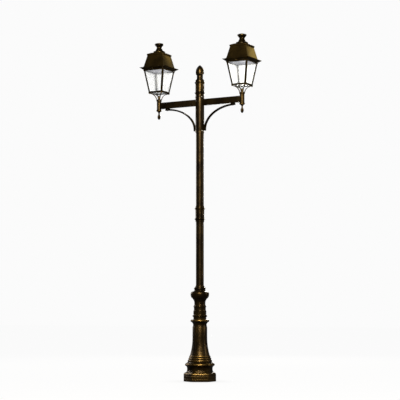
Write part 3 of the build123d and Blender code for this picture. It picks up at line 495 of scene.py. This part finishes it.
# ---------------------------------------------------------------- castings, sections and sheet work
refined_piece("base_casting", base_bronze, "post", bevel=2.0 * MM)
refined_piece("access_door", cast_bronze, "door", bevel=0.8 * MM)
for side in SIDES:
    refined_piece("arm_" + side, tube_bronze, "post", bevel=2.5 * MM, segments=3)
    refined_piece("bracket_" + side, frame_bronze, "post", bevel=2.5 * MM, segments=3)
    refined_piece(side + "_cradle", cast_bronze, "post", bevel=1.5 * MM)
    for name in ("bottom_frame", "corner_posts", "top_frame"):
        refined_piece(f"{side}_{name}", frame_bronze, "post", bevel=0.8 * MM)
    for name in ("roof_skirt", "roof_crown"):
        refined_piece(f"{side}_{name}", sheet_bronze, side + "_roof", bevel=1.2 * MM)

# ---------------------------------------------------------------- CAD pieces that keep their shape
KEPT = {
    "shaft_spigot": zinc, "door_hinge_pins": zinc, "roof_hinge_pins": zinc, "door_lock": zinc,
    "backboard": board_wood, "backboard_screws": zinc, "fuse_box": grey_plastic, "earth_stud": brass,
    "pedestal_bolts": zinc, "set_screws": stainless, "bracket_bolts": tube_bronze,
    "cradle_screws": zinc, "latch_keepers": tube_bronze,
    "side_panes": clear_glass, "bottom_pane": clear_glass, "optic_tray": enamel,
    "diffuser": opal_plate, "led_module": lamp_board, "driver": aluminium, "roof_latch": tube_bronze,
}
for name, piece in frame["nodes"].items():
    bare = name.split("_", 1)[1] if name.startswith(("left_", "right_")) else name
    material = KEPT.get(name) or KEPT.get(bare)
    if not material:
        continue
    for slot in piece.material_slots:
        slot.link = "OBJECT"
        slot.material = material

# ---------------------------------------------------------------- floor, light and camera
def stage_mesh(name, points, faces, material):
    mesh = bpy.data.meshes.new(name)
    mesh.from_pydata(points, [], faces)
    mesh.materials.append(material)
    mesh.shade_smooth()
    piece = bpy.data.objects.new(name, mesh)
    bpy.context.scene.collection.objects.link(piece)
    return piece


FLOOR_GLOW = 0.955
FLOOR_REACH = 60.0
floor_paint = coated("pale_floor", (0.03, 0.03, 0.03), roughness=0.9, texture_scale=3.0,
                     depth=0.5 * MM, variation=0.01)
lit = floor_paint.node_tree.nodes["Principled BSDF"].inputs
lit["Specular IOR Level"].default_value = 0.0
# Painted contact shadow: ambient occlusion dims the floor's glow near the base.
painted_contact_shadow = node(floor_paint.node_tree, "ShaderNodeAmbientOcclusion", Distance=0.5).outputs["AO"]
floor_paint.node_tree.links.new(grey_ramp(floor_paint.node_tree, painted_contact_shadow, 0.45, 1.0, 0.84, 1.0),
                                lit["Emission Color"])
lit["Emission Strength"].default_value = FLOOR_GLOW
floor = stage_mesh("floor", [(x * FLOOR_REACH, y * FLOOR_REACH, 0)
                             for x, y in ((-1, -1), (1, -1), (1, 1), (-1, 1))],
                   [(0, 1, 2, 3)], floor_paint)
# The floor shows as white but lights nothing.
floor.visible_diffuse = False
floor.visible_glossy = False

VIEW = math.radians(29.2)
TILT = math.radians(4.8)
CAMERA_PLACE = (10.258, -18.350, 1.144)
CAMERA_LENS = 117.4
FULL_FRAME = 36.0
AMBIENT = 0.06
SHOWN_WHITE = 0.965


def aim(piece, target):
    piece.rotation_euler = (Vector(target) - piece.location).to_track_quat("-Z", "Y").to_euler()


def softbox(name, place, target, width, height, power, colour=(1.0, 1.0, 1.0)):
    """Large rectangular light that faces a point and doesn't shine through the frosted panes."""
    data = bpy.data.lights.new(name, "AREA")
    data.shape = "RECTANGLE"
    data.size, data.size_y = width, height
    data.energy = power
    data.color = colour
    piece = bpy.data.objects.new(name, data)
    piece.location = place
    piece.visible_transmission = False
    bpy.context.scene.collection.objects.link(piece)
    aim(piece, target)
    return piece


softbox("front_key", (4.5, -8.1, 8.0), (0, 0, 0.8), 1.2, 2.0, 1300, (1.0, 0.92, 0.72))
softbox("front_strip", (5.6, -10.2, 5.0), (0, 0, 3.4), 0.6, 3.6, 190, (1.0, 0.88, 0.70))
softbox("roof_light", (1.45, 5.6, 8.0), (0.0, 0, 5.2), 3.2, 1.6, 30, (1.0, 0.74, 0.20))
softbox("left_light", (-10.0, 2.5, 5.0), (0, 0, 2.8), 1.5, 5.0, 230, (1.0, 0.96, 0.88))
softbox("back_light", (-4.0, 10.0, 6.0), (0, 0, 2.8), 2.0, 5.0, 650, (1.0, 0.95, 0.86))
softbox("right_light", (9.5, 5.5, 4.5), (0, 0, 2.6), 1.2, 5.0, 150, (1.0, 0.95, 0.86))

# The surround reads as white, and lights the object with less than it shows.
world = bpy.data.worlds.new("studio")
world.use_nodes = True
sky = world.node_tree
sky.nodes["Background"].inputs["Color"].default_value = (1.0, 1.0, 1.0, 1.0)
sky.nodes["Background"].inputs["Strength"].default_value = AMBIENT
shown = node(sky, "ShaderNodeBackground", Color=(1.0, 1.0, 1.0, 1.0), Strength=SHOWN_WHITE)
choice = node(sky, "ShaderNodeMixShader")
path = node(sky, "ShaderNodeLightPath")
direct = node(sky, "ShaderNodeMath", operation="MAXIMUM")
sky.links.new(path.outputs["Is Camera Ray"], direct.inputs[0])
sky.links.new(path.outputs["Is Transmission Ray"], direct.inputs[1])
sky.links.new(direct.outputs[0], choice.inputs["Fac"])
sky.links.new(sky.nodes["Background"].outputs[0], choice.inputs[1])
sky.links.new(shown.outputs[0], choice.inputs[2])
sky.links.new(choice.outputs[0], sky.nodes["World Output"].inputs["Surface"])
bpy.context.scene.world = world
bpy.context.scene.view_settings.view_transform = "Standard"

camera_data = bpy.data.cameras.new("camera")
camera_data.sensor_width = FULL_FRAME
camera_data.lens = CAMERA_LENS
camera_data.clip_end = 300.0
camera = bpy.data.objects.new("camera", camera_data)
camera.location = CAMERA_PLACE
line = Vector((-math.sin(VIEW) * math.cos(TILT), math.cos(VIEW) * math.cos(TILT), math.sin(TILT)))
camera.rotation_euler = line.to_track_quat("-Z", "Y").to_euler()
bpy.context.scene.collection.objects.link(camera)
bpy.context.scene.camera = camera
